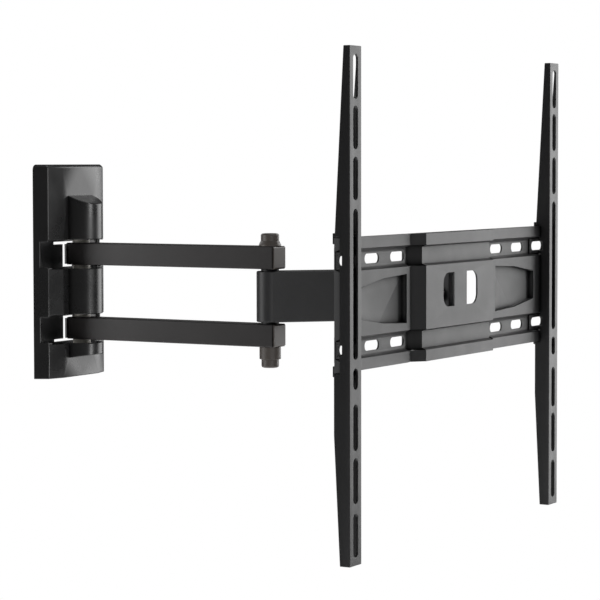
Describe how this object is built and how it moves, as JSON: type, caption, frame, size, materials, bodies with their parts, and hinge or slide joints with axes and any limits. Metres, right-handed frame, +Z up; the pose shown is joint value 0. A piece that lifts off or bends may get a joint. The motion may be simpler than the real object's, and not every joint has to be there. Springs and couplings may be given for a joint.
{
  "type": "full motion television wall mount",
  "caption": "Wall unit with twin swinging arms, forearm, swivel and tilt head, pressed plate and sliding slotted brackets for a flat television.",
  "frame": {"origin": "on the wall plane, behind the shoulder pivot and half way between the two arms", "axes": "+X right along the wall, +Y into the wall, so the room is towards -Y, +Z up"},
  "size_m": [0.42, 0.361, 0.426],
  "materials": {
    "black_steel": "satin powder coat",
    "plate_steel": "matt powder coat on pressed sheet",
    "arm_steel": "satin powder coat on square tube",
    "black_plastic": "fine moulded grain",
    "bronze_plastic": "satin dark bronze",
    "shaft_steel": "turned and zinc plated",
    "bush_plastic": "self-lubricating nylon",
    "washer_plastic": "black nylon"
  },
  "bodies": {
    "wall_unit": {"wall_plate": "black_steel", "wall_cover": "black_plastic", "shoulder_shaft": "shaft_steel", "shoulder_nut": "shaft_steel", "shoulder_thrust_rings": "bush_plastic"},
    "arm_pair": {"upper_arm": "arm_steel", "lower_arm": "arm_steel", "shoulder_bushes": "bush_plastic", "elbow_bushes": "bush_plastic", "shoulder_end_caps": "black_plastic", "elbow_end_caps": "bronze_plastic", "elbow_bolt": "shaft_steel", "elbow_nut": "shaft_steel", "elbow_top_cap": "bronze_plastic", "elbow_collar": "bronze_plastic", "elbow_bottom_cap": "bronze_plastic", "elbow_washers": "washer_plastic"},
    "forearm_link": {"forearm": "black_steel", "forearm_elbow_bushes": "bush_plastic", "forearm_swivel_bushes": "bush_plastic"},
    "swivel_head": {"head_yoke": "black_steel", "swivel_bolt": "shaft_steel", "swivel_nut": "shaft_steel", "swivel_washers": "washer_plastic", "tilt_spacer": "shaft_steel"},
    "tv_plate": {"tilt_frame": "black_steel", "tilt_bolt": "shaft_steel", "tilt_nut": "shaft_steel", "tilt_friction_washers": "washer_plastic", "centre_plate": "plate_steel", "left_plate": "plate_steel", "right_plate": "plate_steel"},
    "left_slider": {"left_bracket": "black_steel", "left_glide_shoes": "washer_plastic", "left_lock_screw": "shaft_steel"},
    "right_slider": {"right_bracket": "black_steel", "right_glide_shoes": "washer_plastic", "right_lock_screw": "shaft_steel"}
  },
  "joints": [
    {"name": "shoulder_swing", "type": "hinge", "parent": "wall_unit", "child": "arm_pair", "pos_m": [0, -0.0175, 0], "axis": [0, 0, 1], "range_deg": [-90, 90]},
    {"name": "elbow_swing", "type": "hinge", "parent": "arm_pair", "child": "forearm_link", "pos_m": [0, -0.2207, 0], "axis": [0, 0, -1], "range_deg": [-100, 120]},
    {"name": "head_swivel", "type": "hinge", "parent": "forearm_link", "child": "swivel_head", "pos_m": [0.10027, -0.32097, 0], "axis": [0, 0, 1], "range_deg": [-30, 70]},
    {"name": "head_tilt", "type": "hinge", "parent": "swivel_head", "child": "tv_plate", "pos_m": [0.10027, -0.34237, 0], "axis": [1, 0, 0], "range_deg": [-5, 15]},
    {"name": "left_slide", "type": "slide", "parent": "tv_plate", "child": "left_slider", "axis": [1, 0, 0], "range_m": [0, 0.09]},
    {"name": "right_slide", "type": "slide", "parent": "tv_plate", "child": "right_slider", "axis": [-1, 0, 0], "range_m": [0, 0.09]}
  ]
}
